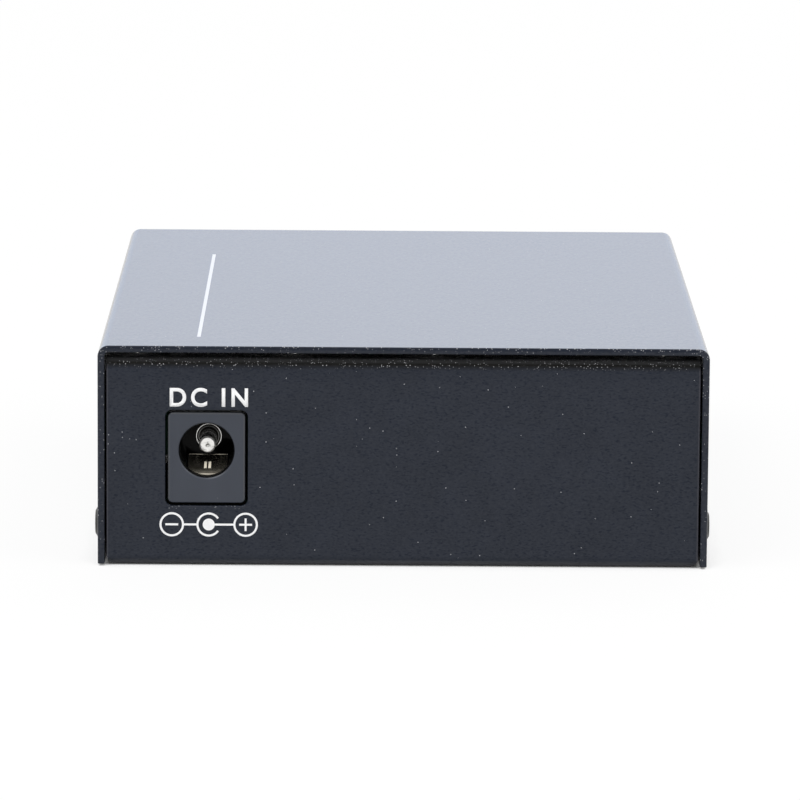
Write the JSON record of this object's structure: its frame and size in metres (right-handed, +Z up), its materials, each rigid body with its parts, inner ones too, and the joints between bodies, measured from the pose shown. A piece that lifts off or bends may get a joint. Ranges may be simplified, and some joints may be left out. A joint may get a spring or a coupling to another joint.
{
  "type": "fibre media converter",
  "caption": "Small dark folded-steel box that joins a copper Ethernet line to a duplex fibre line, with a barrel power jack in one end panel and the ports in the other.",
  "frame": {"origin": "centre of the case's footprint on its underside", "axes": "+Z up, +Y towards the port panel, -Y out of the power panel, +X to the right of the power panel"},
  "size_m": [0.072, 0.0952, 0.026],
  "materials": {
    "case_paint": "fine-textured blue-black powder coat",
    "black_screws": "black plated",
    "plated_steel": "plated",
    "board_laminate": "green solder mask on glass laminate",
    "black_plastic": "moulded, satin",
    "nickel_contact": "nickel plated, bright",
    "spring_contact": "plated spring strip, bright",
    "gold_contact": "gold flash",
    "tinned_lead": "tinned",
    "pale_plastic": "moulded, natural",
    "sleeve_ceramic": "ground",
    "led_lens": "diffused lens",
    "chip_moulding": "moulded, matt",
    "capacitor_moulding": "moulded, matt",
    "passive_ceramic": "fired"
  },
  "bodies": {
    "root": {"top_cover": "case_paint", "base_chassis": "case_paint", "cover_screws": "black_screws", "board_standoffs": "plated_steel", "board_screws": "plated_steel", "circuit_board": "board_laminate", "power_jack_body": "black_plastic", "power_jack_pin": "nickel_contact", "power_jack_sleeve_spring": "spring_contact", "rj45_shield": "plated_steel", "rj45_housing": "black_plastic", "rj45_contacts": "gold_contact", "transceiver_body": "black_plastic", "transceiver_pins": "tinned_lead", "transceiver_studs": "plated_steel", "transmit_latch_insert": "pale_plastic", "receive_latch_insert": "pale_plastic", "transmit_optical_sleeve": "sleeve_ceramic", "receive_optical_sleeve": "sleeve_ceramic", "led_holder": "black_plastic", "led_leads": "tinned_lead", "converter_chip": "chip_moulding", "pulse_transformer": "chip_moulding", "pulse_transformer_leads": "tinned_lead", "voltage_regulator": "chip_moulding", "voltage_regulator_leads": "tinned_lead", "protection_diode": "chip_moulding", "protection_diode_leads": "tinned_lead", "filter_capacitor_1": "capacitor_moulding", "filter_capacitor_2": "capacitor_moulding", "filter_capacitor_leads": "tinned_lead", "crystal": "plated_steel", "chip_passives": "passive_ceramic", "status_led_1": "led_lens", "status_led_2": "led_lens", "status_led_3": "led_lens", "status_led_4": "led_lens", "status_led_5": "led_lens", "status_led_6": "led_lens"}
  },
  "joints": []
}
